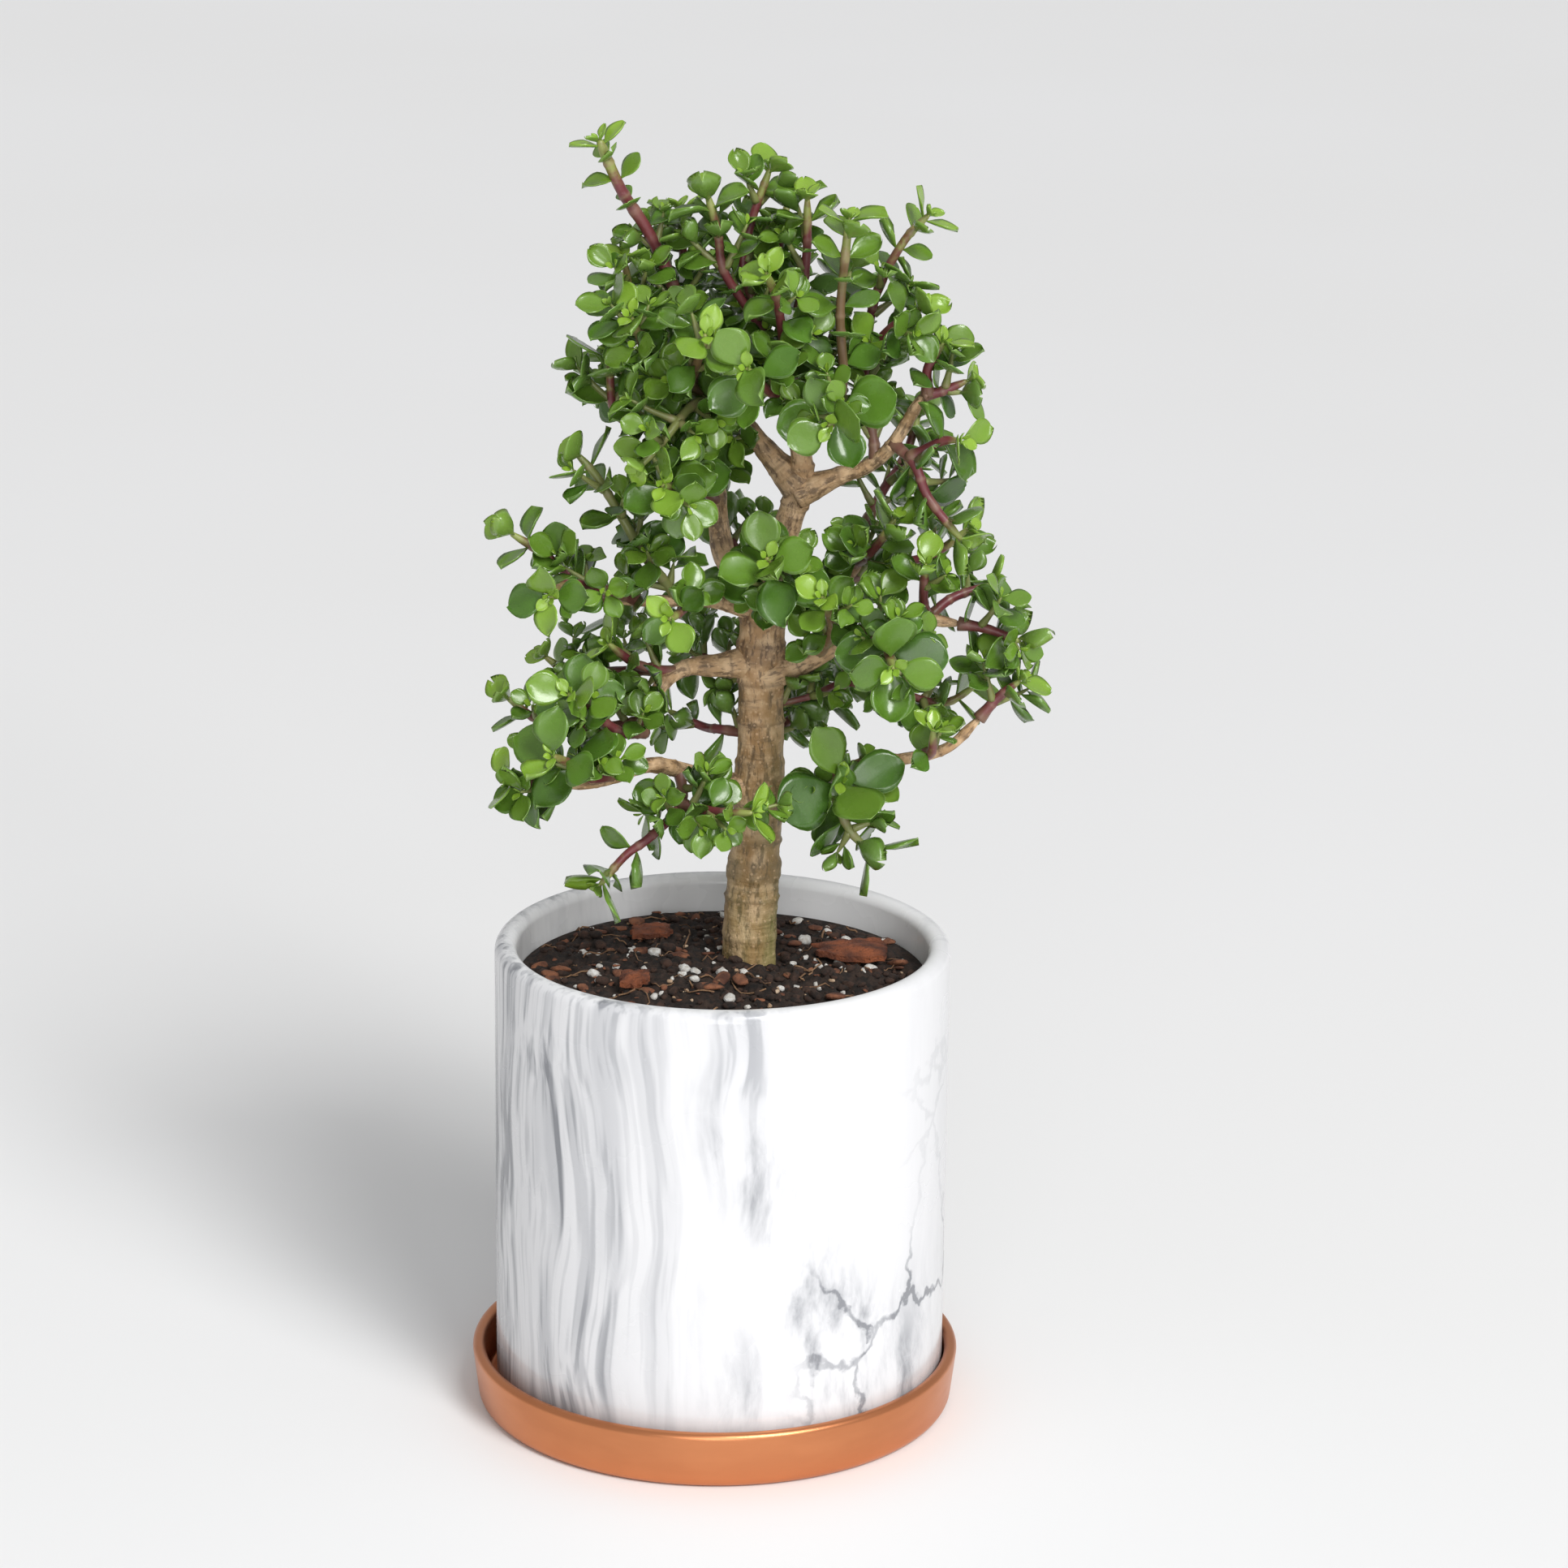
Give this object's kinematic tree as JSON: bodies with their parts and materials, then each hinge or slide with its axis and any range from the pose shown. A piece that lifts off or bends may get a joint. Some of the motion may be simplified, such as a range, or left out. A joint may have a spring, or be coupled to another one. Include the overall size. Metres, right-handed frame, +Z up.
{
  "type": "potted dwarf jade plant",
  "caption": "Small tree-shaped jade plant with round fleshy leaves on a bare trunk, in a straight round marbled pot of soil that stands on a copper-coloured saucer.",
  "frame": {"origin": "on the pot's axis, at the underside of the saucer", "axes": "+Z up along the pot's axis; the plant's fuller, most open side faces -Y and its highest shoot leans towards -X"},
  "size_m": [0.1606, 0.139, 0.3669],
  "materials": {
    "copper_coat": "satin",
    "marbled_glaze": "gloss",
    "potting_mix": "matte",
    "bark_chip": "matte",
    "bark": "matte",
    "leaf": "satin"
  },
  "bodies": {
    "root": {"saucer": "copper_coat", "pot": "marbled_glaze", "potting_mix": "potting_mix", "trunk": "bark", "bough_west_arch": "bark", "bough_west_low": "bark", "bough_west_high": "bark", "bough_west_middle": "bark", "bough_crown_west": "bark", "bough_crown_east": "bark", "bough_east_upper": "bark", "bough_east_main": "bark", "bough_east_low": "bark", "bark_chip_large": "bark_chip", "bark_chip_left": "bark_chip", "bark_chip_front": "bark_chip", "bark_chip_back": "bark_chip", "shoot_front_centre": "leaf", "shoot_front_east": "leaf", "shoot_front_east_small": "leaf", "shoot_west_clover": "leaf", "shoot_front_west": "leaf", "shoot_west_front_upper": "leaf", "shoot_west_front_lower": "leaf", "shoot_low_west": "leaf", "shoot_low_east": "leaf", "shoot_crown_round_leaves": "leaf", "shoot_crown_leader": "leaf", "shoot_top_west": "leaf", "shoot_crown_rosette": "leaf", "shoot_crown_curled": "leaf", "shoot_crown_drooping": "leaf", "shoot_top_middle": "leaf", "shoot_top_east": "leaf", "shoot_crown_young": "leaf", "shoot_top_far_east": "leaf", "shoot_crown_east_tip": "leaf", "shoot_crown_east_hanging": "leaf", "shoot_inner_glossy": "leaf", "shoot_west_upper": "leaf", "shoot_west_far": "leaf", "shoot_west_arch_tip": "leaf", "shoot_west_low_far": "leaf", "shoot_west_low_tip": "leaf", "shoot_west_stub": "leaf", "shoot_east_inner": "leaf", "shoot_east_upper": "leaf", "shoot_east_tip": "leaf", "shoot_east_low_tip": "leaf", "shoot_east_sprout": "leaf", "shoot_east_twig": "leaf", "shoot_back_crown_west": "leaf", "shoot_back_west_high": "leaf", "shoot_back_crown_middle": "leaf", "shoot_back_crown_east": "leaf", "shoot_back_middle": "leaf", "shoot_back_east_high": "leaf", "shoot_back_east": "leaf", "shoot_back_west": "leaf", "shoot_back_east_low": "leaf"}
  },
  "joints": []
}
